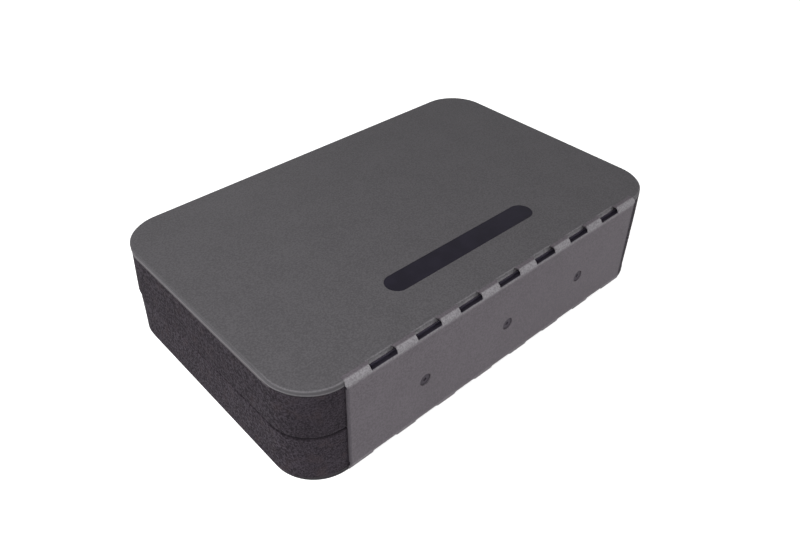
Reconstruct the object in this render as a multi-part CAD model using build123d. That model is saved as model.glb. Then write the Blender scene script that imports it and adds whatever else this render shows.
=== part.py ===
"""Fly box: two hard covers and a spine folded from one punched plastic sheet, lined with two foam
frames that hold slit-foam bars for the hooks, and a page of more bars riveted inside the spine."""

import os

from build123d import *

os.makedirs("parts", exist_ok=True)

# Driving dimensions, in millimetres. X runs along the spine, which is on the -Y side; Z is up.

# Outside of the closed box
length = 208.0
width = 133.5
height = 47.8
corner_radius = 19.0

# Punched sheet: covers and spine, with a perforated fold above and below the spine
sheet = 2.5
fold_radius = 2.4  # outside of each bend
fold_bulge = 1.0  # how far the spine stands out past the corners of the covers
cover_setback = 3.4  # how far the covers stop short of the spine's face
web_thickness = 0.9
fold_groove = 1.0  # how far the groove behind each fold runs down the inside of the spine
cover_edge_ease = 0.5
spine_length = 169.5
spine_shift = 0.5  # how far the spine sits towards +X
fold_end_notch = 0.5
slot_count = 7
slot_pitch = 22.3
slot_length = 13.0
slot_width = 4.9
slot_corner = 2.0
slot_arris = 0.3

# Bare label, let in flush near the spine
trim_shift = 1.0  # how far the label and the rivets sit towards +X
label_length = 84.6
label_width = 10.5
label_thickness = 0.4
label_from_spine = 28.0
label_clearance = 0.1

# Foam frames
foam_inset = 0.2
rim_width = 13.0
pocket_radius = 8.0
foam_edge_ease = 1.0
parting_gap = 0.3
spine_clearance = 0.3
spine_end_clearance = 0.5

# Boards and slit-foam bars
board = 1.2
board_clearance = 0.3
bar_width = 7.0
bar_pitch = 19.0
case_bar_count = 5
case_bar_height = 7.0
case_bar_end_gap = 3.5
page_bar_count = 4
page_bar_height = 6.5
page_bar_shift = 3.0  # page bars sit further from the spine, clear of the rim as the page turns
slit_mouth = 0.6  # each slit narrows from its mouth to nothing at its floor
slit_depth = 4.5
slit_pitch = 13.5

# Page, its flange and the rivets through the spine
page_end_gap = 3.2
page_side_gap = 2.0
page_radius = 9.0
page_tab_width = 150.0
page_bar_margin = 3.5
crease_gap = 0.3
tab_relief = 0.35
flange_height = 9.6
flange_clearance = 1.0
rivet_count = 3
rivet_pitch = 47.5
rivet_below_middle = 1.5
rivet_shank = 3.0
rivet_head = 5.0
rivet_head_thickness = 1.0
rivet_dimple = 1.6
rivet_dimple_depth = 0.4
rivet_recess = 5.6
rivet_recess_depth = 1.4
rivet_cap = 6.4
rivet_cap_height = 1.2
rivet_cap_ease = 0.5
rivet_hole_clearance = 0.1
notch_clearance = 1.4

# Closing magnets in the front rim
magnet_count = 2
magnet_pitch = 130.0
magnet_diameter = 8.0
magnet_thickness = 2.5
magnet_sink = 0.2
magnet_clearance = 0.1

# Places worked out from the sizes above
middle = height / 2
spine_face = -width / 2
spine_inside = spine_face + sheet
bend_end = spine_face + fold_radius
panel_end = spine_face + cover_setback
cover_back = spine_face + fold_bulge
foam_back = spine_inside + spine_clearance
foam_front = width / 2 - foam_inset
foam_length = length - 2 * foam_inset
foam_top = middle - parting_gap / 2
pocket_back = foam_back + rim_width
pocket_front = foam_front - rim_width
pocket_length = foam_length - 2 * rim_width
pocket_middle = (pocket_back + pocket_front) / 2
bar_floor = sheet + board
page_under = middle - board / 2
flange_front = spine_inside + board
crease_y = flange_front + crease_gap + board / 2
page_front = pocket_front - page_end_gap
page_length = pocket_length - 2 * page_side_gap
rivet_z = middle - rivet_below_middle
spine_ends = (spine_shift - spine_length / 2, spine_shift + spine_length / 2)
slot_centres = [slot_pitch * (i - (slot_count - 1) / 2) for i in range(slot_count)]
rivet_centres = [trim_shift + rivet_pitch * (i - (rivet_count - 1) / 2) for i in range(rivet_count)]
magnet_centres = [magnet_pitch * (i - (magnet_count - 1) / 2) for i in range(magnet_count)]


def block(x, y, z):
    """A box from its two ends along each axis."""
    size = [end - start for start, end in (x, y, z)]
    centre = [(start + end) / 2 for start, end in (x, y, z)]
    return Pos(*centre) * Box(*size)


def rounded_slab(slab_length, y, z, radius):
    """A slab centred on X with upright rounded corners."""
    outline = RectangleRounded(slab_length, y[1] - y[0], radius)
    return Pos(0, (y[0] + y[1]) / 2, z[0]) * extrude(outline, z[1] - z[0])


def rod(x, y, z, diameter):
    """A round bar along Y."""
    return Pos(x, (y[0] + y[1]) / 2, z) * Rot(90, 0, 0) * Cylinder(diameter / 2, y[1] - y[0])


def to_upper(part):
    """The same piece turned over into the upper half."""
    return mirror(part, about=Plane.XY.offset(middle))


def bottom_cover():
    """Flat cover with rounded corners, cut back along the fold and eased where it meets the slots."""
    plate = rounded_slab(length, (cover_back, width / 2), (0, sheet), corner_radius)
    plate = chamfer(plate.edges().group_by(Axis.Z)[0], cover_edge_ease)
    notch = (spine_ends[0] - fold_end_notch, spine_ends[1] + fold_end_notch)
    plate -= block(notch, (spine_face, panel_end), (0, sheet))
    easing = Rot(45, 0, 0) * Box(slot_length, slot_arris * 2**0.5, slot_arris * 2**0.5)
    return plate - [Pos(x, panel_end, 0) * easing for x in slot_centres]


def label(clearance):
    """Long label with round ends, flush with the top cover; clearance makes its recess."""
    size = label_length + 2 * clearance, label_width + 2 * clearance
    place = Pos(trim_shift, spine_face + label_from_spine, height - label_thickness)
    return place * extrude(SlotOverall(*size), label_thickness)


def spine_panel():
    """Upright panel, thinned from behind at both folds, with a round recess for each rivet head."""
    faces = (spine_face, spine_inside)
    groove_end = fold_radius + fold_groove
    panel = block(spine_ends, faces, (groove_end, height - groove_end))
    outer = (spine_face, spine_face + web_thickness)
    panel += block(spine_ends, outer, (fold_radius, height - fold_radius))
    for x in rivet_centres:
        panel -= rod(x, faces, rivet_z, rivet_shank + 2 * rivet_hole_clearance)
        panel -= rod(x, (spine_face, spine_face + rivet_recess_depth), rivet_z, rivet_recess)
    return panel


def lower_hinge_webs():
    """The thin strip that bends between the spine and the cover, punched into a row of webs."""
    outer = CenterArc((0, 0), fold_radius, 180, 90)
    inner = CenterArc((0, 0), fold_radius - web_thickness, 180, 90)
    ends = [Line(outer @ 0, inner @ 0), Line(outer @ 1, inner @ 1)]
    bend = extrude(Plane.YZ * make_face([outer, inner, *ends]), spine_length / 2, both=True)
    webs = Pos(spine_shift, bend_end, fold_radius) * bend
    webs += block(spine_ends, (bend_end, panel_end), (0, web_thickness))
    punch = extrude(RectangleRounded(slot_length, slot_width, slot_corner), 2 * fold_radius)
    for x in slot_centres:
        webs -= Pos(x, bend_end, fold_radius) * Rot(135, 0, 0) * punch
    return webs.solids()


def lower_foam_frame():
    """Foam ring on the bottom cover, let in behind the spine and relieved for the page."""
    sides = (cover_back + foam_inset, foam_front)
    frame = rounded_slab(foam_length, sides, (sheet, foam_top), corner_radius - foam_inset)
    frame = chamfer(frame.edges().group_by(Axis.Z)[-1], foam_edge_ease)
    seat = (spine_ends[0] - spine_end_clearance, spine_ends[1] + spine_end_clearance)
    frame -= block(seat, (cover_back, foam_back), (sheet, foam_top))
    frame -= rounded_slab(
        pocket_length, (pocket_back, pocket_front), (sheet, foam_top), pocket_radius
    )
    half_relief = page_tab_width / 2 + flange_clearance
    page_depth = board / 2 + tab_relief
    frame -= block(
        (-half_relief, half_relief), (foam_back, pocket_back), (middle - page_depth, middle)
    )
    return frame - magnet_discs(magnet_clearance)


def flange_relief():
    """Room in both frames for the page's flange and the rivet caps."""
    half_relief = page_tab_width / 2 + flange_clearance
    front = flange_front + rivet_cap_height + flange_clearance
    half_height = flange_height / 2 + flange_clearance
    level = (rivet_z - half_height, rivet_z + half_height)
    return block((-half_relief, half_relief), (foam_back, front), level)


def magnet_discs(clearance):
    """Discs let into the lower frame's front rim; clearance makes their holes."""
    top = foam_top - magnet_sink
    open_top = foam_top if clearance else top
    bottom = top - magnet_thickness
    y = foam_front - rim_width / 2
    disc = Cylinder(magnet_diameter / 2 + clearance, open_top - bottom)
    return [Pos(x, y, (bottom + open_top) / 2) * disc for x in magnet_centres]


def lower_board():
    """Thin board that lines the bottom cover inside the frame and carries the bars."""
    gap = board_clearance
    return rounded_slab(
        pocket_length - 2 * gap,
        (pocket_back + gap, pocket_front - gap),
        (sheet, bar_floor),
        pocket_radius - gap,
    )


def slit_bar(bar_length, bar_height):
    """Foam bar standing on z = 0, cut across by a row of slits that grip the hooks."""
    slits = int((bar_length - slit_pitch) / slit_pitch)
    points = [(-bar_length / 2, 0), (-bar_length / 2, bar_height)]
    for i in range(slits):
        x = slit_pitch * (i - (slits - 1) / 2)
        left, right = x - slit_mouth / 2, x + slit_mouth / 2
        points += [(left, bar_height), (x, bar_height - slit_depth), (right, bar_height)]
    points += [(bar_length / 2, bar_height), (bar_length / 2, 0)]
    profile = Plane.XZ * make_face(Polyline(*points, close=True))
    return extrude(profile, bar_width / 2, both=True)


def bar_rows(count, shift):
    """Y of each row of bars, spread about the middle of the pocket or shifted from it."""
    return [pocket_middle + shift + bar_pitch * (i - (count - 1) / 2) for i in range(count)]


def page_board():
    """Stiff page with a tab across the back rim, rounded and notched at its crease."""
    half_tab = page_tab_width / 2
    level = (page_under, page_under + board)
    side = rounded_slab(page_length, (pocket_back + page_side_gap, page_front), level, page_radius)
    side += block((-half_tab, half_tab), (crease_y, pocket_middle), level)
    nose = Plane.YZ * RegularPolygon(board / 2, 8, major_radius=False, rotation=22.5)
    side += Pos(0, crease_y, middle) * extrude(nose, half_tab, both=True)
    half_notch = rivet_cap / 2 + notch_clearance
    notch_front = flange_front + rivet_cap_height + notch_clearance
    for x in rivet_centres:
        side -= block((x - half_notch, x + half_notch), (spine_inside, notch_front), level)
    return side


def page_flange():
    """Strip riveted flat against the inside of the spine, which the page's crease turns on."""
    half_tab = page_tab_width / 2
    level = (rivet_z - flange_height / 2, rivet_z + flange_height / 2)
    strip = block((-half_tab, half_tab), (spine_inside, flange_front), level)
    for x in rivet_centres:
        faces = (spine_inside, flange_front)
        strip -= rod(x, faces, rivet_z, rivet_shank + 2 * rivet_hole_clearance)
    return strip


def rivet_stud(x):
    """Flat head sunk in the spine's recess, with a dimple, and its shank through the flange."""
    seat = spine_face + rivet_recess_depth
    outer = seat - rivet_head_thickness
    head = rod(x, (outer, seat), rivet_z, rivet_head)
    head -= rod(x, (outer, outer + rivet_dimple_depth), rivet_z, rivet_dimple)
    return head + rod(x, (seat, flange_front), rivet_z, rivet_shank)


def rivet_cap_on(x):
    """Eased cap that clenches the end of the shank against the flange."""
    cap = rod(x, (flange_front, flange_front + rivet_cap_height), rivet_z, rivet_cap)
    return chamfer(cap.edges().group_by(Axis.Y)[-1], rivet_cap_ease)


def save(name, part):
    """Write one node, a single solid or a group of like solids."""
    shape = Compound(children=[*part]) if isinstance(part, (list, ShapeList)) else part
    shape.label = name
    export_step(shape, f"parts/{name}.step")


cover = bottom_cover()
frame_plain = lower_foam_frame()
webs = lower_hinge_webs()
lining = lower_board()
case_bar = slit_bar(pocket_length - 2 * case_bar_end_gap, case_bar_height)
page_bar = slit_bar(page_length - 2 * page_bar_margin, page_bar_height)

save("bottom_cover", cover)
save("lower_foam_frame", frame_plain - flange_relief())
save("lower_board", lining)
save("lower_magnets", magnet_discs(0))
save("top_cover", to_upper(cover) - label(label_clearance))
save("label_plate", label(0))
save("upper_foam_frame", to_upper(frame_plain) - flange_relief())
save("upper_board", to_upper(lining))
save("upper_magnets", [to_upper(disc) for disc in magnet_discs(0)])
save("spine_panel", spine_panel())
save("lower_hinge_webs", webs)
save("upper_hinge_webs", [to_upper(web) for web in webs])
save("page_board", page_board())
save("page_flange", page_flange())
save("rivet_studs", [rivet_stud(x) for x in rivet_centres])
save("rivet_caps", [rivet_cap_on(x) for x in rivet_centres])
for number, row in enumerate(bar_rows(case_bar_count, 0), 1):
    bar = Pos(0, row, bar_floor) * case_bar
    save(f"lower_bar_{number}", bar)
    save(f"upper_bar_{number}", to_upper(bar))
for number, row in enumerate(bar_rows(page_bar_count, page_bar_shift), 1):
    bar = Pos(0, row, page_under + board) * page_bar
    save(f"page_top_bar_{number}", bar)
    save(f"page_under_bar_{number}", to_upper(bar))
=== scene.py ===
"""Fly box dressed for a studio picture: sheet covers on living hinges, foam frames and bars."""

from math import radians, sin

import bmesh
import bpy
from bpy.props import FloatProperty, FloatVectorProperty, IntProperty, PointerProperty
from mathutils import Matrix, Vector


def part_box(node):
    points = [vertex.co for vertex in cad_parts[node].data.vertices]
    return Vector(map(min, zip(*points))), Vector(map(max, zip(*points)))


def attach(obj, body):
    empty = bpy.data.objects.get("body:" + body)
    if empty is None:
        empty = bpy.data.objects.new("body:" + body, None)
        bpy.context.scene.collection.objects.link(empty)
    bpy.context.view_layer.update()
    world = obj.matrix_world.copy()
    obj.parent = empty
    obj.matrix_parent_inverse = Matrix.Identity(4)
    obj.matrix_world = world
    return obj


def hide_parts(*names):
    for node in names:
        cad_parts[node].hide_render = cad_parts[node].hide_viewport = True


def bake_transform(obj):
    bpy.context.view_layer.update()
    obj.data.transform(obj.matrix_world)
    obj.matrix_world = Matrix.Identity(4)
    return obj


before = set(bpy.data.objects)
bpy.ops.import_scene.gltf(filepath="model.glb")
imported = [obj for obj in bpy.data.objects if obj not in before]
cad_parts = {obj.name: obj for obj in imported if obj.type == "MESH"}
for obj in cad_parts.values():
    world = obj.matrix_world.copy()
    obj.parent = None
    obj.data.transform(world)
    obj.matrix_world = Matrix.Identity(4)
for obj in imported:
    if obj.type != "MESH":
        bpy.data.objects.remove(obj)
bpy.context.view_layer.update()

bl_info = {
    "name": "Fly Box",
    "version": (1, 0, 0),
    "blender": (4, 5, 0),
    "location": "View3D > Sidebar > Fly Box",
    "description": "Models and finishes a book-style fly box with living hinges and foam frames",
    "category": "Object",
}

MM = 0.001
SAME_PLACE = 1e-6  # metres, below which two points count as one
NOISE_CORE = (0.35, 0.65)  # where most values of a noise lie
NOISE_RANGE = (0.3, 0.7)  # where nearly all of them lie

# Places read from the frame, in metres
COVER_LOW, COVER_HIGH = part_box("top_cover")
MIDDLE = (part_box("bottom_cover")[0].z + COVER_HIGH.z) / 2
SPINE_LOW, SPINE_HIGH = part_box("spine_panel")
FOAM_LOW, FOAM_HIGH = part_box("lower_foam_frame")
TOP = COVER_HIGH.z - MIDDLE  # from the box's middle to its top


def colour(name, description, default):
    """A colour property, linear."""
    return FloatVectorProperty(
        name=name, description=description, default=default, subtype="COLOR", size=3, min=0, max=1
    )


def share(name, description, default):
    """A property from 0 to 1."""
    return FloatProperty(
        name=name, description=description, default=default, min=0, max=1, subtype="FACTOR"
    )


def distance(name, description, default):
    """A length property, in metres."""
    return FloatProperty(
        name=name, description=description, default=default, unit="LENGTH", precision=5
    )


def power(name, description, default):
    """A lamp's power, in watts."""
    return FloatProperty(name=name, description=description, default=default, unit="POWER")


def angle(name, description, default_degrees):
    """An angle property, stored in radians."""
    return FloatProperty(
        name=name, description=description, default=radians(default_degrees), subtype="ANGLE"
    )


class SheetFinish(bpy.types.PropertyGroup):
    """Moulded plastic sheet of the covers, spine and hinge webs."""

    base: colour("Base", "Matte body of the sheet", (0.099, 0.0945, 0.101))
    # The spine and webs are the covers' sheet in a lighter colour: painted light on their lit
    # front
    spine: colour("Spine", "Body of the spine panel", (0.121, 0.108, 0.121))
    whitened: colour(
        "Whitened", "Stretched plastic at the folds and cut edges", (0.29, 0.28, 0.295))
    hollow: colour(
        "Hollow", "Inside of the folds, where light does not reach", (0.022, 0.019, 0.027))
    rim: colour("Rim", "Side of the top cover", (0.08, 0.076, 0.082))
    # Painted shade: the bottom cover's side dark as if in the shadow of the foam above it
    lower_rim_shade: colour("Lower rim", "Side of the bottom cover", (0.03, 0.027, 0.031))
    # Painted highlight along the lower edge of a cover's side
    rim_highlight: share("Rim line", "Whitening along the lower edge of a cover's side", 0.5)
    gloss: share("Gloss", "Specular level of the sheet", 0.06)
    roughness: share("Roughness", "Roughness of the moulded face", 0.55)
    corner: distance("Corner radius", "Outside corner radius of the covers", 19 * MM)
    grain_size: distance("Grain size", "Size of the fine moulded grain", 0.7 * MM)
    grain_depth: distance("Grain depth", "Height of the grain's bumps", 0.03 * MM)


class FoamFinish(bpy.types.PropertyGroup):
    """Cut closed-cell foam of the frames and bars."""

    dark: colour("Dark", "Colour inside the cells", (0.014, 0.0112, 0.0145))
    light: colour("Light", "Colour of the cell walls", (0.0465, 0.0382, 0.0485))
    warm: colour("Warm", "Browner patches of the frames", (0.047, 0.035, 0.039))
    # Lining: painted light that lifts the shaded face of the frames behind the spine
    lining: colour("Lining", "Face of the frames behind the spine", (0.048, 0.042, 0.062))
    # Pale band on the upper frame just under the top cover at the box's ends
    pale_band: colour(
        "Bond", "Pale bonding line under the top cover at the box's ends", (0.145, 0.136, 0.143))
    bar: colour("Bar", "Colour of the slit bars", (0.20, 0.20, 0.205))
    cell: distance("Cell size", "Size of the foam's cells", 0.75 * MM)
    depth: distance("Cell depth", "Depth of the open cells on a cut face", 0.12 * MM)
    gloss: share("Gloss", "Specular level of the foam", 0.1)
    rim: distance("Rim width", "Width of the frame's rim", 13 * MM)
    corner: distance("Corner radius", "Outside corner radius of the frames", 18.8 * MM)
    pocket_corner: distance("Pocket corner radius", "Corner radius inside the frames", 8 * MM)
    crown: distance("Crown", "How far the frames swell where they meet", 0.55 * MM)
    sag: distance("Sag", "How much further the left side and the right corner swell", 0.6 * MM)
    edge_round: distance("Edge round", "Rounding of the frames' edges at the parting", 0.9 * MM)


class BarShape(bpy.types.PropertyGroup):
    """Slit-foam bars that grip the hooks."""

    pitch: distance("Slit pitch", "Distance between slits", 4.5 * MM)
    mouth: distance("Slit mouth", "Width of a slit at the top", 0.45 * MM)
    depth: distance("Slit depth", "Depth of a slit", 4.5 * MM)
    edge_round: distance("Edge round", "Rounding of the bars' long edges", 0.9 * MM)
    crown: distance("Crown", "How far the bars' tops swell", 0.25 * MM)


class WebShape(bpy.types.PropertyGroup):
    """Living-hinge webs between the punched slots."""

    radius: distance("Bend radius", "Outside radius of the fold", 2.4 * MM)
    thickness: distance("Thickness", "Thickness of the webs", 0.9 * MM)
    tail: distance("Tail", "Flat part of the webs beside the cover", 1.0 * MM)
    overhang: distance("Overhang", "How far the webs pass each end of the spine", 0.35 * MM)
    pitch: distance("Slot pitch", "Distance between slots", 22.3 * MM)
    slot_length: distance("Slot length", "Length of each slot", 13 * MM)
    slot_width: distance("Slot width", "Width of each slot across the bend", 4.9 * MM)
    slot_corner: distance("Slot corner", "Corner radius of each slot", 2 * MM)
    slots: IntProperty(name="Slots", description="Number of slots in each fold", default=7, min=1)


class TrimFinish(bpy.types.PropertyGroup):
    """Label, boards, rivets and magnets."""

    label: colour("Label", "Smooth bare label", (0.0148, 0.0129, 0.0212))
    board: colour("Board", "Page, flange and lining boards", (0.055, 0.055, 0.06))
    rivet: colour("Rivet", "Dark rivet heads", (0.058, 0.05, 0.062))
    nickel: colour("Nickel", "Plated magnets", (0.62, 0.61, 0.6))


class Studio(bpy.types.PropertyGroup):
    """Camera, lamps and floor."""

    azimuth: angle("Azimuth", "Direction of view round the box", -41.693)
    elevation: angle("Elevation", "Height of the view above the horizon", 37.25)
    station: FloatVectorProperty(
        name="Camera place", description="Where the camera stands", subtype="TRANSLATION", size=3,
        default=(-192.08 * MM, -207.69 * MM, 237.21 * MM), precision=5,
    )
    lens: FloatProperty(name="Lens", description="Focal length in millimetres", default=34.114)
    shift_x: FloatProperty(
        name="Shift X", description="Sideways shift of the frame", default=0.0168)
    shift_y: FloatProperty(
        name="Shift Y", description="Upward shift of the frame", default=-0.01705)
    left: power("Left", "Power of the lamp on the left", 1.6)
    near: power("Near", "Power of the lamp above the near corner", 0.91)
    front: power("Front", "Power of the lamp before the spine's right end", 4.72)
    back: power("Back", "Power of the low lamp behind the box", 1.2)
    ambient: share("Ambient", "Strength of the surrounding light", 0.25)
    floor: colour("Floor", "Pale floor", (0.9, 0.9, 0.9))


class FlyBoxSettings(bpy.types.PropertyGroup):
    """Everything that a user would change."""

    sheet: PointerProperty(type=SheetFinish)
    foam: PointerProperty(type=FoamFinish)
    bar: PointerProperty(type=BarShape)
    web: PointerProperty(type=WebShape)
    trim: PointerProperty(type=TrimFinish)
    studio: PointerProperty(type=Studio)


def settings():
    """The scene's fly box settings."""
    return bpy.context.scene.fly_box


# Node trees


def node(tree, kind, **values):
    """Adds a shader node; values set its properties and, by socket name, its unlinked inputs."""
    made = tree.nodes.new(kind)
    sockets = values.pop("inputs", {})
    for name, value in values.items():
        setattr(made, name, value)
    for name, value in sockets.items():
        if isinstance(value, bpy.types.NodeSocket):
            tree.links.new(value, made.inputs[name])
        else:
            made.inputs[name].default_value = value
    return made


def maths(tree, operation, a, b=0.0, clamp=False):
    """One Math node's output; a and b are sockets or numbers."""
    made = node(
        tree, "ShaderNodeMath", operation=operation, use_clamp=clamp, inputs={0: a, 1: b})
    return made.outputs[0]


def ramp(tree, value, low, high, to_low=0.0, to_high=1.0):
    """Value mapped from low..high to to_low..to_high, smoothly and clamped."""
    made = node(
        tree, "ShaderNodeMapRange", interpolation_type="SMOOTHSTEP",
        inputs={"Value": value, "From Min": low, "From Max": high, "To Min": to_low,
                "To Max": to_high},
    )
    return made.outputs["Result"]


def parts(tree, vector):
    """A vector's X, Y and Z."""
    return node(tree, "ShaderNodeSeparateXYZ", inputs={0: vector}).outputs


def mixed(tree, factor, a, b):
    """Colour a to colour b by factor."""
    factor_socket, a_socket, b_socket, colour_result = 0, 6, 7, 2
    made = node(tree, "ShaderNodeMix", data_type="RGBA")
    for index, value in ((factor_socket, factor), (a_socket, a), (b_socket, b)):
        if isinstance(value, bpy.types.NodeSocket):
            tree.links.new(value, made.inputs[index])
        elif index == factor_socket:
            made.inputs[index].default_value = value
        else:
            made.inputs[index].default_value = (*value, 1)
    return made.outputs[colour_result]


def new_group(name, inputs, outputs):
    """An empty node group with float and vector sockets, and its input and output nodes."""
    tree = bpy.data.node_groups.new(name, "ShaderNodeTree")
    for socket, kind, default in inputs:
        made = tree.interface.new_socket(socket, in_out="INPUT", socket_type=kind)
        if default is not None:
            made.default_value = default
    for socket, kind in outputs:
        tree.interface.new_socket(socket, in_out="OUTPUT", socket_type=kind)
    return tree, tree.nodes.new("NodeGroupInput").outputs, tree.nodes.new("NodeGroupOutput").inputs


def grain_group():
    """Two octaves of even grain with slow mottling: a value about 0.5 and a height."""
    name = "Moulded grain"
    if name in bpy.data.node_groups:
        return bpy.data.node_groups[name]
    tree, given, result = new_group(
        name,
        [("Vector", "NodeSocketVector", None), ("Size", "NodeSocketFloat", 0.7 * MM)],
        [("Grain", "NodeSocketFloat"), ("Mottle", "NodeSocketFloat"),
         ("Height", "NodeSocketFloat")],
    )
    mottle_size = 22.0  # in grains
    pebble_scale, pebble_depth = 0.8, 0.6  # against the fine noise
    scale = maths(tree, "DIVIDE", 1.0, given["Size"])
    fine = node(tree, "ShaderNodeTexNoise", inputs={
        "Vector": given["Vector"], "Scale": scale, "Detail": 2.0, "Roughness": 0.6})
    slow = node(tree, "ShaderNodeTexNoise", inputs={
        "Vector": given["Vector"], "Scale": maths(tree, "DIVIDE", scale, mottle_size),
        "Detail": 3.0})
    pebble = node(tree, "ShaderNodeTexVoronoi", feature="SMOOTH_F1", inputs={
        "Vector": given["Vector"], "Scale": maths(tree, "MULTIPLY", scale, pebble_scale),
        "Smoothness": 0.6})
    tree.links.new(fine.outputs[0], result["Grain"])
    tree.links.new(slow.outputs[0], result["Mottle"])
    pebbles = maths(tree, "MULTIPLY", pebble.outputs[0], pebble_depth)
    height = maths(tree, "SUBTRACT", fine.outputs[0], pebbles)
    tree.links.new(height, result["Height"])
    return tree


def outline_group():
    """Distance in from a rounded rectangle's outline, in metres, on object coordinates."""
    name = "Inside outline"
    if name in bpy.data.node_groups:
        return bpy.data.node_groups[name]
    tree, given, result = new_group(
        name,
        [("Vector", "NodeSocketVector", None), ("Half length", "NodeSocketFloat", 0.1),
         ("Half width", "NodeSocketFloat", 0.06), ("Centre Y", "NodeSocketFloat", 0.0),
         ("Radius", "NodeSocketFloat", 0.02)],
        [("Distance", "NodeSocketFloat")],
    )
    apart = parts(tree, given["Vector"])
    across = []
    for value, half in ((apart[0], "Half length"),
                        (maths(tree, "SUBTRACT", apart[1], given["Centre Y"]), "Half width")):
        beyond = maths(tree, "SUBTRACT", maths(tree, "ABSOLUTE", value), given[half])
        across.append(maths(tree, "ADD", beyond, given["Radius"]))
    square = [maths(tree, "POWER", maths(tree, "MAXIMUM", q, 0.0), 2.0) for q in across]
    outside = maths(tree, "SQRT", maths(tree, "ADD", *square))
    inside = maths(tree, "MINIMUM", maths(tree, "MAXIMUM", *across), 0.0)
    signed = maths(tree, "SUBTRACT", maths(tree, "ADD", outside, inside), given["Radius"])
    tree.links.new(maths(tree, "MULTIPLY", signed, -1.0), result["Distance"])
    return tree


def foam_group():
    """Cut closed cells, coarser at the box's ends: a colour factor and a height."""
    name = "Foam cells"
    if name in bpy.data.node_groups:
        return bpy.data.node_groups[name]
    tree, given, result = new_group(
        name,
        [("Vector", "NodeSocketVector", None), ("Cell", "NodeSocketFloat", 0.55 * MM)],
        [("Factor", "NodeSocketFloat"), ("Height", "NodeSocketFloat")],
    )
    drift_size, coarse_size = 14.0, 1.5  # in cells
    fine_scale, fine_depth = 1.3, 0.8  # against the cells
    wall_share, speck_share, drift_share, base = 0.5, 3.0, 0.5, 0.2  # of the colour factor
    torn_from, torn_to, torn_share = 99.5 * MM, 103.8 * MM, 3.2  # towards the box's ends
    scale = maths(tree, "DIVIDE", 1.0, given["Cell"])
    cells = node(tree, "ShaderNodeTexVoronoi", feature="SMOOTH_F1", inputs={
        "Vector": given["Vector"], "Scale": scale, "Smoothness": 0.35})
    fine = node(tree, "ShaderNodeTexNoise", inputs={
        "Vector": given["Vector"], "Scale": maths(tree, "MULTIPLY", scale, fine_scale),
        "Detail": 3.0, "Roughness": 0.7})
    slow = node(tree, "ShaderNodeTexNoise", inputs={
        "Vector": given["Vector"], "Scale": maths(tree, "DIVIDE", scale, drift_size),
        "Detail": 2.0})
    apart = parts(tree, given["Vector"])
    coarse = node(tree, "ShaderNodeTexNoise", inputs={
        "Vector": given["Vector"], "Scale": maths(tree, "DIVIDE", scale, coarse_size),
        "Detail": 1.0})
    from_middle = maths(tree, "ABSOLUTE", apart[0])
    torn = ramp(tree, from_middle, torn_from, torn_to, 0.0, torn_share)
    wall = ramp(tree, cells.outputs[0], 0.15, 0.75)
    speck, rough, drift = (
        maths(tree, "MULTIPLY", maths(tree, "SUBTRACT", noise.outputs[0], 0.5), strength)
        for noise, strength in ((fine, speck_share), (coarse, torn), (slow, drift_share)))
    speck = maths(tree, "ADD", speck, rough)
    factor = maths(tree, "ADD", maths(tree, "MULTIPLY", wall, wall_share), base)
    factor = maths(tree, "ADD", factor, speck)
    factor = maths(tree, "ADD", factor, drift, clamp=True)
    tree.links.new(factor, result["Factor"])
    height = maths(tree, "ADD", wall, maths(tree, "MULTIPLY", fine.outputs[0], fine_depth))
    tree.links.new(height, result["Height"])
    return tree


def new_material(name):
    """A plain material, its tree, its Principled BSDF and object coordinates."""
    material = bpy.data.materials.new(name)
    material.use_nodes = True
    tree = material.node_tree
    shader = next(n for n in tree.nodes if n.type == "BSDF_PRINCIPLED")
    place = node(tree, "ShaderNodeTexCoord").outputs["Object"]
    return material, tree, shader, place


def use_group(tree, group, **inputs):
    """A group node's outputs; underscores in the names of inputs stand for spaces."""
    sockets = {name.replace("_", " "): value for name, value in inputs.items()}
    return node(tree, "ShaderNodeGroup", node_tree=group, inputs=sockets).outputs


def bump(tree, shader, height, depth, strength=1.0):
    """Height to the shader's normal, depth in metres for one unit of height."""
    made = node(
        tree, "ShaderNodeBump",
        inputs={"Height": height, "Distance": depth, "Strength": strength})
    tree.links.new(made.outputs[0], shader.inputs["Normal"])


def roughen(tree, shader, noise, roughness, uneven):
    """A shader's roughness, which a noise varies by as much as uneven."""
    result = ramp(tree, noise, *NOISE_RANGE, roughness - uneven, roughness + uneven)
    tree.links.new(result, shader.inputs["Roughness"])


def shades(body, spread):
    """A darker and a lighter shade of a colour."""
    return [c * (1 - spread) for c in body], [min(c * (1 + spread), 1) for c in body]


def within(tree, value, low, high, blur=0.15 * MM):
    """1 where value lies from low to high, with blurred ends."""
    return maths(tree, "MULTIPLY", ramp(tree, value, low - blur, low + blur),
                 ramp(tree, value, high - blur, high + blur, 1.0, 0.0))


def fold_whitening(tree, apart, from_middle):
    """Mask of plastic whitened by bending, with painted highlight on the folds, fading down the
    spine and over the cover.
    """
    down_the_spine = (TOP - 4.0 * MM, TOP - 2.2 * MM)
    over_the_cover = (SPINE_LOW.y + 1.4 * MM, SPINE_LOW.y + 2.1 * MM)
    high = ramp(tree, from_middle, *down_the_spine)
    near = ramp(tree, apart[1], *over_the_cover, 1.0, 0.0)
    return maths(tree, "MULTIPLY", high, near)


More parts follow.
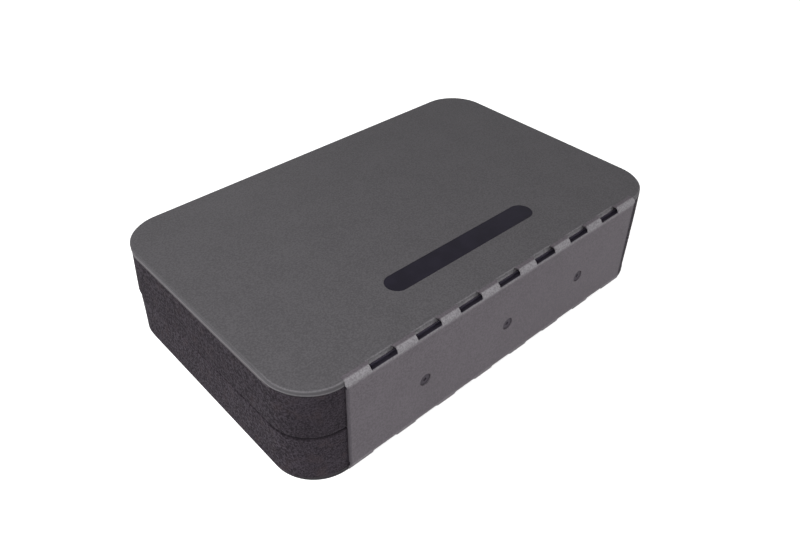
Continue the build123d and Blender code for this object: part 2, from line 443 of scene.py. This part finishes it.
def punched_edges(tree, apart):
    """Mask of the covers' edges beside the slots, paler where the punch cut them."""
    shape = settings().web
    blur = 0.2 * MM
    end = shape.slot_length / 2
    along = maths(tree, "PINGPONG", apart[0], shape.pitch / 2)
    slot = ramp(tree, along, end - blur, end + blur, 1.0, 0.0)
    last = shape.slots * shape.pitch / 2
    among = maths(tree, "LESS_THAN", maths(tree, "ABSOLUTE", apart[0]), last)
    slot = maths(tree, "MULTIPLY", slot, among)
    wall = SPINE_LOW.y + shape.radius + shape.tail
    beside_depth = (wall + 0.3 * MM, wall + 0.6 * MM)
    beside = ramp(tree, apart[1], *beside_depth, 1.0, 0.0)
    return maths(tree, "MULTIPLY", slot, beside)


def sheet_material(name, base, finish):
    """Matte moulded sheet with fine grain.

    finish(tree, place, apart, from_middle, body) returns the body with its folds or edges, and
    the mask of what takes the whitened colour, whitening and painted highlight alike. place is
    the object coordinates, apart their three parts.
    """
    look = settings().sheet
    material, tree, shader, place = new_material(name)
    apart = parts(tree, place)
    from_middle = maths(tree, "ABSOLUTE", maths(tree, "SUBTRACT", apart[2], MIDDLE))
    grain = use_group(tree, grain_group(), Vector=place, Size=look.grain_size)
    tone = maths(tree, "ADD", maths(tree, "MULTIPLY", grain["Grain"], 0.85),
                 maths(tree, "MULTIPLY", grain["Mottle"], 0.15))
    body = mixed(tree, ramp(tree, tone, *NOISE_CORE), *shades(base, spread=0.15))
    body, mask = finish(tree, place, apart, from_middle, body)
    speckle = ramp(tree, grain["Grain"], *NOISE_CORE, 0.5, 0.95)
    mask = maths(tree, "MULTIPLY", mask, speckle)
    # The whitened colour stands for both stress whitening and painted highlight
    tree.links.new(mixed(tree, mask, body, look.whitened), shader.inputs["Base Color"])
    roughen(tree, shader, grain["Grain"], look.roughness, uneven=0.06)
    shader.inputs["Specular IOR Level"].default_value = look.gloss
    bump(tree, shader, grain["Height"], look.grain_depth)
    return material


def cover_finish(rim, highlight_strength):
    """A cover's darker side (painted shade on the bottom cover), with a painted highlight line
    along its lower edge, painted highlight on the upper arris towards the front, and paler
    punched edges.

    highlight_strength is the strength of the line's and the arris' painted highlight, from 0 to 1.
    """
    # Where each effect starts and ends: in from the outline, up from the middle, or along Y
    side_depth = (0.05 * MM, 0.3 * MM)
    arris_depth = (0.15 * MM, 0.6 * MM)
    arris_reach = (-35 * MM, -55 * MM)
    line_levels = (TOP - 2.6 * MM, TOP - 2.0 * MM)
    line_fade = (-56 * MM, -48 * MM)
    foam_levels = (TOP - 2.8 * MM, TOP - 2.55 * MM)
    punched_levels = (TOP - 2.3 * MM, TOP - 0.3 * MM)
    lift_start = (-54 * MM, -47 * MM)
    lift_end = (-66 * MM, -60 * MM)
    lift_height = 0.6 * MM  # rise of the line round the corners beside the spine
    lift_left, line_left = 0.4, 0.55  # what is left of the rise and of the line towards the spine
    arris_highlight = 0.25
    punched_whitening_and_light = (1.3, 0.35)

    def finish(tree, place, apart, from_middle, body):
        look = settings().sheet
        half_length = (COVER_HIGH.x - COVER_LOW.x) / 2
        half_width = (COVER_HIGH.y - COVER_LOW.y) / 2
        inside = use_group(
            tree, outline_group(), Vector=place, Half_length=half_length,
            Half_width=half_width, Centre_Y=COVER_HIGH.y - half_width, Radius=look.corner,
        )["Distance"]
        side = ramp(tree, inside, *side_depth, 1.0, 0.0)
        lift = maths(tree, "MULTIPLY", ramp(tree, apart[1], *lift_start, lift_height, 0.0),
                     ramp(tree, apart[1], *lift_end, lift_left, 1.0))
        level = maths(tree, "SUBTRACT", from_middle, lift)
        # Painted highlight line along the lower edge of the side
        line = maths(tree, "MULTIPLY", side, within(tree, level, *line_levels))
        # Painted highlight on the upper arris, only towards the front
        arris = maths(tree, "MULTIPLY", within(tree, inside, *arris_depth),
                      ramp(tree, apart[1], *arris_reach))
        line = maths(tree, "MULTIPLY", line, ramp(tree, apart[1], *line_fade, line_left, 1.0))
        mask = maths(tree, "MAXIMUM", maths(tree, "MULTIPLY", line, look.rim_highlight * highlight_strength),
                     maths(tree, "MULTIPLY", arris, arris_highlight * highlight_strength))
        # Punched walls: whitening at the top, plus painted light towards the bottom that lifts the
        # slot's shade
        strength = ramp(tree, from_middle, *punched_levels, *punched_whitening_and_light)
        punched = maths(tree, "MULTIPLY", punched_edges(tree, apart), strength)
        mask = maths(tree, "MAXIMUM", mask, punched)
        # The side takes the rim colour; on the bottom cover this is painted shade
        body = mixed(tree, side, body, rim)
        # The lowest strip of the side takes the foam's dark colour
        foam_dark_strip = maths(tree, "MULTIPLY", side, ramp(tree, level, *foam_levels, 1.0, 0.0))
        return mixed(tree, foam_dark_strip, body, settings().foam.dark), mask
    return finish


def fold_finish(whitening, hollow):
    """Whitened folds; a hollow panel gets painted shade behind them and a little at its ends."""
    behind_face = (SPINE_LOW.y + 0.35 * MM, SPINE_LOW.y + 0.65 * MM)
    above_groove = (TOP - 4.6 * MM, TOP - 4.2 * MM)
    end_depth = (0.4 * MM, 1.0 * MM)
    end_shade = 0.3

    def finish(tree, place, apart, from_middle, body):
        mask = maths(tree, "MULTIPLY", fold_whitening(tree, apart, from_middle), whitening)
        if not hollow:
            return body, mask
        behind = ramp(tree, apart[1], *behind_face)
        dark = maths(tree, "MULTIPLY", behind, ramp(tree, from_middle, *above_groove))
        middle = (SPINE_LOW.x + SPINE_HIGH.x) / 2
        aside = maths(tree, "ABSOLUTE", maths(tree, "SUBTRACT", apart[0], middle))
        from_end = maths(tree, "SUBTRACT", (SPINE_HIGH.x - SPINE_LOW.x) / 2, aside)
        dark = maths(tree, "MAXIMUM", dark, ramp(tree, from_end, *end_depth, end_shade, 0.0))
        mask = maths(tree, "MULTIPLY", mask, maths(tree, "SUBTRACT", 1.0, dark))
        return mixed(tree, dark, body, settings().sheet.hollow), mask
    return finish


def foam_material(name, dark, light, finish=None):
    """Cut foam with open cells and slow drift in tone; finish(tree, place, body) may add to it."""
    look = settings().foam
    material, tree, shader, place = new_material(name)
    cells = use_group(tree, foam_group(), Vector=place, Cell=look.cell)
    body = mixed(tree, cells["Factor"], dark, light)
    if finish:
        body = finish(tree, place, body)
    tree.links.new(body, shader.inputs["Base Color"])
    roughness = ramp(tree, cells["Factor"], 0.0, 1.0, 0.95, 0.8)
    tree.links.new(roughness, shader.inputs["Roughness"])
    shader.inputs["Specular IOR Level"].default_value = look.gloss
    bump(tree, shader, cells["Height"], look.depth)
    return material


def frame_finish(tree, place, body):
    """The frames' warm patches, painted shade on the upper frame and in the parting, painted light
    on the seat behind the spine, and a pale band under the top cover at the box's ends.

    Each pair of lengths says where an effect starts and ends.
    """
    look = settings().foam
    upper_frame = (MIDDLE, MIDDLE + 1 * MM)
    parting_height = (0.4 * MM, 1.1 * MM)
    parting_fade = (-62 * MM, -10 * MM)
    seat_depth = (SPINE_HIGH.y + 0.5 * MM, SPINE_HIGH.y + 0.8 * MM)
    pale_band_levels = (COVER_LOW.z - 1.8 * MM, COVER_LOW.z - 0.9 * MM)
    pale_band_ends = (101 * MM, 103 * MM)
    pale_band_fade = (-50 * MM, -42 * MM)
    patch_grain, patch_range = 0.25 * MM, (0.5, 0.75)
    patch_share, upper_shade, parting_shade, pale_band_strength = 0.5, 0.2, 0.6, 0.9
    seat_blur = 0.02 * MM
    warm = use_group(tree, grain_group(), Vector=place, Size=patch_grain)["Mottle"]
    body = mixed(tree, ramp(tree, warm, *patch_range, 0.0, patch_share), body, look.warm)
    along, across, height = parts(tree, place)
    # Painted shade: the upper frame a little darker, under the top cover
    under = ramp(tree, height, *upper_frame, 0.0, upper_shade)
    from_middle = maths(tree, "ABSOLUTE", maths(tree, "SUBTRACT", height, MIDDLE))
    # Painted shade in the parting, fading out towards the back
    parting = maths(tree, "MULTIPLY", ramp(tree, from_middle, *parting_height, 1.0, 0.0),
                    ramp(tree, across, *parting_fade, parting_shade, 0.0))
    shade = [c * 0.6 for c in look.dark]
    body = mixed(tree, maths(tree, "MAXIMUM", under, parting), body, shade)
    # Painted light: the seat behind the spine takes the lighter lining colour to lift its shade
    seat = maths(tree, "MULTIPLY", ramp(tree, across, *seat_depth, 1.0, 0.0),
                 within(tree, along, SPINE_LOW.x, SPINE_HIGH.x, seat_blur))
    body = mixed(tree, seat, body, look.lining)
    # Pale band just under the top cover at the box's ends, away from the front
    pale_band = maths(tree, "MULTIPLY", ramp(tree, height, *pale_band_levels),
                 ramp(tree, maths(tree, "ABSOLUTE", along), *pale_band_ends))
    pale_band = maths(tree, "MULTIPLY", pale_band, ramp(tree, across, *pale_band_fade, 0.0, pale_band_strength))
    return mixed(tree, pale_band, body, look.pale_band)


def smooth_material(name, body, roughness, metallic=0.0, size=0.8, depth=0.01, spread=0.12,
                    gloss=0.5, uneven=0.07):
    """Smooth plastic or metal with faint grain and uneven gloss; size and depth in millimetres."""
    material, tree, shader, place = new_material(name)
    grain = use_group(tree, grain_group(), Vector=place, Size=size * MM)
    tone = ramp(tree, grain["Mottle"], *NOISE_CORE)
    tree.links.new(mixed(tree, tone, *shades(body, spread)), shader.inputs["Base Color"])
    roughen(tree, shader, grain["Mottle"], roughness, uneven)
    shader.inputs["Metallic"].default_value = metallic
    shader.inputs["Specular IOR Level"].default_value = gloss
    bump(tree, shader, grain["Height"], depth * MM)
    return material


def dress(material, *names):
    """Gives CAD nodes a material in place of their own."""
    for name in names:
        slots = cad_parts[name].data.materials
        slots.clear()
        slots.append(material)


# Modelling


def deselect_all():
    """Leaves edit mode and deselects every object."""
    if bpy.context.object and bpy.context.object.mode != "OBJECT":
        bpy.ops.object.mode_set(mode="OBJECT")
    bpy.ops.object.select_all(action="DESELECT")


def make_active(piece):
    """Selects only this piece."""
    deselect_all()
    piece.select_set(True)
    bpy.context.view_layer.objects.active = piece


def add_block(name, low, high):
    """A cube primitive that fills the box from low to high, its place in its mesh."""
    deselect_all()
    low, high = Vector(low), Vector(high)
    bpy.ops.mesh.primitive_cube_add(size=1, location=(low + high) / 2)
    piece = bpy.context.active_object
    piece.name = name
    piece.data.name = name
    piece.scale = high - low
    bpy.ops.object.transform_apply(location=True, rotation=True, scale=True)
    return piece


def select_where(piece, kind, wanted):
    """In edit mode, selects only the edges or faces that wanted(element) is true for."""
    bpy.ops.mesh.select_mode(type=kind)
    bpy.ops.mesh.select_all(action="DESELECT")
    shape = bmesh.from_edit_mesh(piece.data)
    shape.normal_update()
    for element in {"EDGE": shape.edges, "FACE": shape.faces}[kind]:
        if wanted(element):
            element.select_set(True)
    shape.select_flush_mode()
    bmesh.update_edit_mesh(piece.data)


def round_edges(piece, wanted, radius, segments):
    """In edit mode, rounds the edges that wanted(edge) is true for."""
    select_where(piece, "EDGE", wanted)
    bpy.ops.mesh.bevel(offset=radius, segments=segments, affect="EDGES")


def is_upright(edge):
    """True for an edge along Z."""
    a, b = (v.co for v in edge.verts)
    return abs(a.x - b.x) < SAME_PLACE and abs(a.y - b.y) < SAME_PLACE


def at_level(edge, z):
    """True for an edge that lies at height z."""
    return all(abs(v.co.z - z) < SAME_PLACE for v in edge.verts)


def cut_with(piece, cutters):
    """Boolean difference with each cutter, which is then removed."""
    for cutter in cutters:
        modifier = piece.modifiers.new("Cut", "BOOLEAN")
        modifier.operation = "DIFFERENCE"
        modifier.solver = "EXACT"
        modifier.object = cutter
        make_active(piece)
        bpy.ops.object.modifier_apply(modifier=modifier.name)
        bpy.data.objects.remove(cutter)


def finish_mesh(piece, smooth_angle=35):
    """Merges doubles, turns faces outwards and smooths shallow edges."""
    make_active(piece)
    bpy.ops.object.mode_set(mode="EDIT")
    bpy.ops.mesh.select_all(action="SELECT")
    bpy.ops.mesh.remove_doubles(threshold=SAME_PLACE)
    bpy.ops.mesh.normals_make_consistent(inside=False)
    bpy.ops.object.mode_set(mode="OBJECT")
    bpy.ops.object.shade_smooth_by_angle(angle=radians(smooth_angle))


def turned_over(piece):
    """Mirrors a finished mesh about the box's middle, into the upper half."""
    piece.data.transform(Matrix.Translation((0, 0, 2 * MIDDLE)) @ Matrix.Diagonal((1, 1, -1, 1)))
    finish_mesh(piece)


def cut_levels(levels, axis=2):
    """In edit mode, cuts the whole mesh across an axis at each level."""
    normal = [0, 0, 0]
    normal[axis] = 1
    for level in levels:
        place = [0, 0, 0]
        place[axis] = level
        bpy.ops.mesh.select_all(action="SELECT")
        bpy.ops.mesh.bisect(plane_co=place, plane_no=normal)


def copy_piece(piece, name):
    """A copy with its own mesh."""
    made = piece.copy()
    made.data = piece.data.copy()
    made.name = name
    made.data.name = name
    bpy.context.scene.collection.objects.link(made)
    return made


def place_piece(piece, material, slot, body, fill, *nodes):
    piece.data.materials.clear()
    piece.data.materials.append(material)
    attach(piece, body)
    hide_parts(*nodes)


class FLYBOX_OT_sheet(bpy.types.Operator):
    """Finish the covers and the spine as moulded sheet"""

    bl_idname = "flybox.sheet"
    bl_label = "Covers and Spine"

    def execute(self, context):
        look = settings().sheet
        dress(sheet_material("Top sheet", look.base, cover_finish(look.rim, highlight_strength=1.0)),
              "top_cover")
        # The bottom cover gets painted shade on its side and little painted highlight
        dress(sheet_material("Bottom sheet", look.base, cover_finish(look.lower_rim_shade, highlight_strength=0.1)),
              "bottom_cover")
        dress(sheet_material("Spine sheet", look.spine, fold_finish(whitening=0.75, hollow=True)),
              "spine_panel")
        return {"FINISHED"}


class FLYBOX_OT_webs(bpy.types.Operator):
    """Model the living-hinge webs of both folds"""

    bl_idname = "flybox.webs"
    bl_label = "Hinge Webs"

    def execute(self, context):
        shape = settings().web
        middle = (SPINE_LOW.x + SPINE_HIGH.x) / 2
        centre = Vector((middle, SPINE_LOW.y + shape.radius, shape.radius))
        lower = self.sweep(shape, centre)
        punches = [self.punch(shape, centre, number) for number in range(shape.slots)]
        cut_with(lower, punches)
        finish_mesh(lower, smooth_angle=50)
        upper = copy_piece(lower, "upper_webs")
        turned_over(upper)
        # The lower fold faces the floor and gets less whitening: painted shade
        for piece, whitening in ((lower, 0.3), (upper, 0.95)):
            finish = fold_finish(whitening, hollow=False)
            piece.data.materials.append(
                sheet_material(piece.name, settings().sheet.spine, finish))
        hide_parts("lower_hinge_webs")
        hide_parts("upper_hinge_webs")
        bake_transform(lower)
        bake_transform(upper)
        return {"FINISHED"}

    def sweep(self, shape, centre):
        """The bend's cross-section, spun from the spine and drawn out to the cover."""
        deselect_all()
        bpy.ops.mesh.primitive_plane_add(size=1)
        piece = bpy.context.active_object
        piece.name = piece.data.name = "lower_webs"
        reach = shape.thickness / 2 - shape.radius
        length = SPINE_HIGH.x - SPINE_LOW.x + 2 * shape.overhang
        piece.data.transform(
            Matrix.Translation(centre)
            @ Matrix.Translation((0, reach, 0))
            @ Matrix.Diagonal((length, shape.thickness, 1, 1))
        )
        bpy.ops.object.mode_set(mode="EDIT")
        bpy.ops.mesh.select_all(action="SELECT")
        bpy.ops.mesh.spin(steps=14, angle=-radians(90), center=centre, axis=(1, 0, 0))
        select_where(
            piece, "FACE", lambda f: all(abs(v.co.y - centre.y) < SAME_PLACE for v in f.verts))
        bpy.ops.mesh.extrude_region_move(TRANSFORM_OT_translate={"value": (0, shape.tail, 0)})
        bpy.ops.object.mode_set(mode="OBJECT")
        finish_mesh(piece)
        return piece

    def punch(self, shape, centre, number):
        """A block with rounded corners that punches one slot."""
        along = (number - (shape.slots - 1) / 2) * shape.pitch
        half = Vector((shape.slot_length, shape.slot_width, 2 * shape.radius)) / 2
        piece = add_block("punch", -half, half)
        bpy.ops.object.mode_set(mode="EDIT")
        round_edges(piece, is_upright, shape.slot_corner, segments=8)
        bpy.ops.object.mode_set(mode="OBJECT")
        piece.data.transform(
            Matrix.Translation((along, centre.y, centre.z))
            @ Matrix.Rotation(radians(-45), 4, "X")
            @ Matrix.Translation((0, 0, -shape.radius))
        )
        return piece


class FLYBOX_OT_frames(bpy.types.Operator):
    """Model the two foam frames, crowned where they meet"""

    bl_idname = "flybox.frames"
    bl_label = "Foam Frames"

    def execute(self, context):
        look = settings().foam
        material = foam_material("Frame foam", look.dark, look.light, frame_finish)
        for half, sign in (("lower", 1), ("upper", -1)):
            node_name = half + "_foam_frame"
            low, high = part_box(node_name)
            piece = self.model(half + "_foam", low, high, sign)
            place_piece(piece, material, "case_foam", half + "_half", 1.0, node_name)
        return {"FINISHED"}

    def model(self, name, low, high, sign):
        """A rounded block, crowned towards the parting, with its pocket and reliefs cut out."""
        look = settings().foam
        parting, glued = (high.z, low.z) if sign > 0 else (low.z, high.z)
        piece = add_block(name, low, high)
        bpy.ops.object.mode_set(mode="EDIT")
        round_edges(piece, is_upright, look.corner, segments=28)
        round_edges(piece, lambda e: at_level(e, parting), look.edge_round, segments=5)
        layers = 8
        cut_levels([glued + (parting - glued) * step / layers for step in range(1, layers)])
        bpy.ops.object.mode_set(mode="OBJECT")
        self.swell(piece, glued, parting, sign)
        cut_with(piece, self.cutters(low, high, sign))
        finish_mesh(piece, smooth_angle=40)
        return piece

    def swell(self, piece, glued, parting, sign):
        """Moves the outside outwards, most at the parting.

        The lower frame also hangs over its rim on the left, and the upper one sags on the left
        towards the back and swells at its right corner. Behind the spine little of it shows.
        """
        look = settings().foam
        rear_start, rear_length = -30 * MM, 50 * MM
        overhang, bulge = 1.4 * look.sag, 1.1 * look.sag  # on the left and at the right corner
        held = 0.8  # share of the swell that the spine holds back
        for vertex in piece.data.vertices:
            rise = (vertex.co.z - glued) / (parting - glued)
            inner = Vector((
                max(FOAM_LOW.x + look.corner, min(vertex.co.x, FOAM_HIGH.x - look.corner)),
                max(FOAM_LOW.y + look.corner, min(vertex.co.y, FOAM_HIGH.y - look.corner)),
                vertex.co.z))
            out = vertex.co - inner
            if out.length < SAME_PLACE:
                continue
            out.normalize()
            behind_spine = max(-out.y, 0) ** 4
            if sign > 0:
                left = min(max(0.35 - out.x, 0), 1)
                extra = overhang * left * (1 - rise) ** 2
            else:
                left = min(max(-4 * out.x - 3, 0), 1)
                rear = min(max((vertex.co.y - rear_start) / rear_length, 0), 1)
                right = min(max(-2 * out.x * out.y, 0), 1) if out.x > 0 else 0
                extra = look.sag * left * rear * rise**2
                extra += bulge * right * (1 - rise)
            push = look.crown * sin(rise * radians(90)) + extra
            vertex.co += out * push * (1 - held * behind_spine)

    def cutters(self, low, high, sign):
        """The pocket, the spine's seat, the page's and flange's reliefs and the magnets' holes."""
        look = settings().foam
        over = 5 * MM  # how far a cutter passes what it cuts
        gap = 1 * MM  # round the flange and beyond the magnets
        slack = 0.35 * MM  # above and below the page
        spine_gap = 0.3 * MM
        board_gap = 0.3 * MM
        end_gap = 0.1 * MM
        magnet_gap = 0.1 * MM
        board_low, board_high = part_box("lower_board")
        around = Vector((board_gap, board_gap, 0))
        pocket = add_block("pocket", (board_low - around).xy[:] + (low.z - over,),
                           (board_high + around).xy[:] + (high.z + over,))
        bpy.ops.object.mode_set(mode="EDIT")
        round_edges(pocket, is_upright, look.pocket_corner, segments=12)
        bpy.ops.object.mode_set(mode="OBJECT")
        seat = add_block("spine_seat", (SPINE_LOW.x - end_gap, low.y - over, low.z - over),
                         (SPINE_HIGH.x + end_gap, SPINE_HIGH.y + spine_gap, high.z + over))
        made = [pocket, seat]
        flange_low, flange_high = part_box("page_flange")
        page_low, page_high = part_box("page_board")
        cap_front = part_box("rivet_caps")[1].y
        made.append(add_block(
            "tab_relief", (flange_low.x - gap, low.y - over, page_low.z - slack),
            (flange_high.x + gap, low.y + look.rim + over, page_high.z + slack)))
        made.append(add_block(
            "flange_relief", (flange_low.x - gap, low.y - over, flange_low.z - gap),
            (flange_high.x + gap, cap_front + gap, flange_high.z + gap)))
        magnet_low, magnet_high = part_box("lower_magnets" if sign > 0 else "upper_magnets")
        radius = (magnet_high.y - magnet_low.y) / 2
        for x in (magnet_low.x + radius, magnet_high.x - radius):
            bpy.ops.mesh.primitive_cylinder_add(
                vertices=40, radius=radius + magnet_gap,
                depth=magnet_high.z - magnet_low.z + 2 * gap,
                location=(x, (magnet_low.y + magnet_high.y) / 2,
                          (magnet_low.z + magnet_high.z) / 2 + sign * gap))
            hole = bpy.context.active_object
            bpy.ops.object.transform_apply(location=True)
            made.append(hole)
        return made


class FLYBOX_OT_bars(bpy.types.Operator):
    """Model the slit-foam bars of both halves and of the page"""

    bl_idname = "flybox.bars"
    bl_label = "Slit-foam Bars"

    def execute(self, context):
        look = settings().foam
        dark = [c * 0.75 for c in look.bar]
        material = foam_material("Slit foam", dark, look.bar)
        groups = (
            ("lower_bar_", 5, "lower_half", 1), ("upper_bar_", 5, "upper_half", -1),
            ("page_top_bar_", 4, "centre_page", 1), ("page_under_bar_", 4, "centre_page", -1),
        )
        for stem, count, body, sign in groups:
            low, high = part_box(stem + "1")
            first = self.model(high - low)
            for number in range(1, count + 1):
                node_name = f"{stem}{number}"
                low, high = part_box(node_name)
                piece = copy_piece(first, "foam_" + node_name)
                foot = Vector((0, (low.y + high.y) / 2, low.z if sign > 0 else high.z))
                piece.data.transform(Matrix.Translation(foot) @ Matrix.Diagonal((1, 1, sign, 1)))
                finish_mesh(piece, smooth_angle=40)
                place_piece(piece, material, "slit_foam", body, 0.9, node_name)
            bpy.data.objects.remove(first)
        return {"FINISHED"}

    def model(self, size):
        """One slit's length of bar, shaped, repeated along the bar and closed at both ends."""
        shape = settings().bar
        count = int(size.x / shape.pitch)
        pitch = size.x / count
        half = size.y / 2
        piece = add_block("bar", (0, -half, 0), (pitch, half, size.z))
        bpy.ops.object.mode_set(mode="EDIT")
        round_edges(
            piece, lambda e: abs(e.verts[0].co.x - e.verts[1].co.x) > SAME_PLACE
            and at_level(e, size.z), shape.edge_round, segments=3)
        cut_levels([pitch / 2 - shape.mouth / 2, pitch / 2, pitch / 2 + shape.mouth / 2], axis=0)
        cut_levels([-half / 3, half / 3], axis=1)
        select_where(piece, "FACE", lambda f: abs(f.normal.x) > 0.9)
        bpy.ops.mesh.delete(type="FACE")
        bpy.ops.object.mode_set(mode="OBJECT")
        floor = size.z - shape.depth
        for vertex in piece.data.vertices:
            if abs(vertex.co.x - pitch / 2) < SAME_PLACE and vertex.co.z > floor:
                vertex.co.z = floor
            elif vertex.co.z > size.z - SAME_PLACE and abs(vertex.co.y) < half / 2:
                away = 2 * vertex.co.x / pitch - 1
                vertex.co.z -= shape.crown * away**2
        array = piece.modifiers.new("Repeat", "ARRAY")
        array.count = count
        array.use_relative_offset = False
        array.use_constant_offset = True
        array.constant_offset_displace = (pitch, 0, 0)
        array.use_merge_vertices = True
        array.merge_threshold = SAME_PLACE
        make_active(piece)
        bpy.ops.object.modifier_apply(modifier=array.name)
        piece.data.transform(Matrix.Translation((-size.x / 2, 0, 0)))
        bpy.ops.object.mode_set(mode="EDIT")
        at_end = 10 * SAME_PLACE
        for end in (-size.x / 2, size.x / 2):
            select_where(
                piece, "EDGE", lambda e: all(abs(v.co.x - end) < at_end for v in e.verts))
            bpy.ops.mesh.edge_face_add()
        bpy.ops.object.mode_set(mode="OBJECT")
        finish_mesh(piece, smooth_angle=40)
        return piece


class FLYBOX_OT_trim(bpy.types.Operator):
    """Finish the label, boards, rivets and magnets"""

    bl_idname = "flybox.trim"
    bl_label = "Label, Page and Rivets"

    def execute(self, context):
        look = settings().trim
        dress(smooth_material("Label face", look.label, 0.42, size=0.35, gloss=0.05, uneven=0.01),
              "label_plate")
        dress(smooth_material("Page board", look.board, 0.5, size=0.5, depth=0.02),
              "page_board", "page_flange", "lower_board", "upper_board")
        dress(smooth_material("Rivet", look.rivet, 0.5, size=0.3, gloss=0.05),
              "rivet_studs", "rivet_caps")
        dress(smooth_material("Nickel", look.nickel, 0.25, metallic=1.0, size=0.3, depth=0.004,
                              spread=0.05), "lower_magnets", "upper_magnets")
        return {"FINISHED"}


class FLYBOX_OT_studio(bpy.types.Operator):
    """Set the camera, the lamps and the pale floor"""

    bl_idname = "flybox.studio"
    bl_label = "Studio"

    def execute(self, context):
        self.set_camera(context)
        self.set_lamps()
        self.set_world(context)
        self.set_floor()
        context.scene.view_settings.view_transform = "Standard"
        return {"FINISHED"}

    def set_camera(self, context):
        """A camera above the near corner."""
        look = settings().studio
        deselect_all()
        bpy.ops.object.camera_add(
            location=look.station, rotation=(radians(90) - look.elevation, 0, look.azimuth))
        camera = context.active_object
        camera.data.lens = look.lens
        camera.data.sensor_width = 36
        camera.data.shift_x = look.shift_x
        camera.data.shift_y = look.shift_y
        camera.data.clip_start = 0.01
        context.scene.camera = camera

    def set_lamps(self):
        """Square soft lamps, in metres and watts, all turned to the box's middle."""
        look = settings().studio
        target = Vector((0, 0, MIDDLE))
        for name, place, size, watts in (
            ("Left lamp", (-0.55, -0.02, 0.36), 0.3, look.left),
            ("Near lamp", (-0.26, -0.17, 0.36), 0.25, look.near),
            ("Front lamp", (0.7, -0.9, 0.35), 0.5, look.front),
            ("Back lamp", (0.3, 0.8, 0.09), 0.16, look.back),
        ):
            lamp = bpy.data.lights.new(name, "AREA")
            lamp.energy = watts
            lamp.size = size
            made = bpy.data.objects.new(name, lamp)
            bpy.context.scene.collection.objects.link(made)
            made.location = place
            made.rotation_euler = (target - Vector(place)).to_track_quat("-Z", "Y").to_euler()

    def set_world(self, context):
        """White where it is seen, faint where it lights the box."""
        world = bpy.data.worlds.new("Studio")
        context.scene.world = world
        world.use_nodes = True
        tree = world.node_tree
        background = next(n for n in tree.nodes if n.type == "BACKGROUND")
        background.inputs["Color"].default_value = (1, 1, 1, 1)
        strength = node(tree, "ShaderNodeMapRange", inputs={
            "Value": seen_rays(tree), "To Min": settings().studio.ambient, "To Max": 1.0})
        tree.links.new(strength.outputs[0], background.inputs["Strength"])

    def set_floor(self):
        """A wide plane that looks white where it is lit and keeps the box's shadow."""
        below = 0.05 * MM  # so that the floor and the box's underside don't share a plane
        deselect_all()
        bpy.ops.mesh.primitive_plane_add(size=4, location=(0, 0, -below))
        floor = bpy.context.active_object
        floor.name = "Floor"
        material, tree, shader, _ = new_material("Pale floor")
        shader.inputs["Base Color"].default_value = (*settings().studio.floor, 1)
        shader.inputs["Roughness"].default_value = 0.9
        shader.inputs["Specular IOR Level"].default_value = 0.0
        glow = mixed(tree, seen_rays(tree), (0, 0, 0), (1, 1, 1))
        tree.links.new(glow, shader.inputs["Emission Color"])
        shader.inputs["Emission Strength"].default_value = 0.75
        floor.data.materials.append(material)


def seen_rays(tree):
    """1 for camera, glossy and transmission rays, 0 for the rays that light the box."""
    path = node(tree, "ShaderNodeLightPath").outputs
    seen = maths(tree, "MAXIMUM", path["Is Camera Ray"], path["Is Glossy Ray"])
    return maths(tree, "MAXIMUM", seen, path["Is Transmission Ray"])


OPERATORS = (FLYBOX_OT_sheet, FLYBOX_OT_webs, FLYBOX_OT_frames, FLYBOX_OT_bars, FLYBOX_OT_trim,
             FLYBOX_OT_studio)


class FLYBOX_PT_panel(bpy.types.Panel):
    """Lists the steps that dress the fly box"""

    bl_idname = "FLYBOX_PT_panel"
    bl_label = "Fly Box"
    bl_space_type = "VIEW_3D"
    bl_region_type = "UI"
    bl_category = "Fly Box"

    def draw(self, context):
        for operator in OPERATORS:
            self.layout.operator(operator.bl_idname)


CLASSES = (SheetFinish, FoamFinish, BarShape, WebShape, TrimFinish, Studio, FlyBoxSettings,
           *OPERATORS, FLYBOX_PT_panel)


def register():
    for cls in CLASSES:
        bpy.utils.register_class(cls)
    bpy.types.Scene.fly_box = PointerProperty(type=FlyBoxSettings)


def unregister():
    del bpy.types.Scene.fly_box
    for cls in reversed(CLASSES):
        bpy.utils.unregister_class(cls)


def main():
    """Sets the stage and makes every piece."""
    register()
    bpy.ops.flybox.studio()
    bpy.ops.flybox.sheet()
    bpy.ops.flybox.webs()
    bpy.ops.flybox.frames()
    bpy.ops.flybox.bars()
    bpy.ops.flybox.trim()


if __name__ == "__main__":
    main()
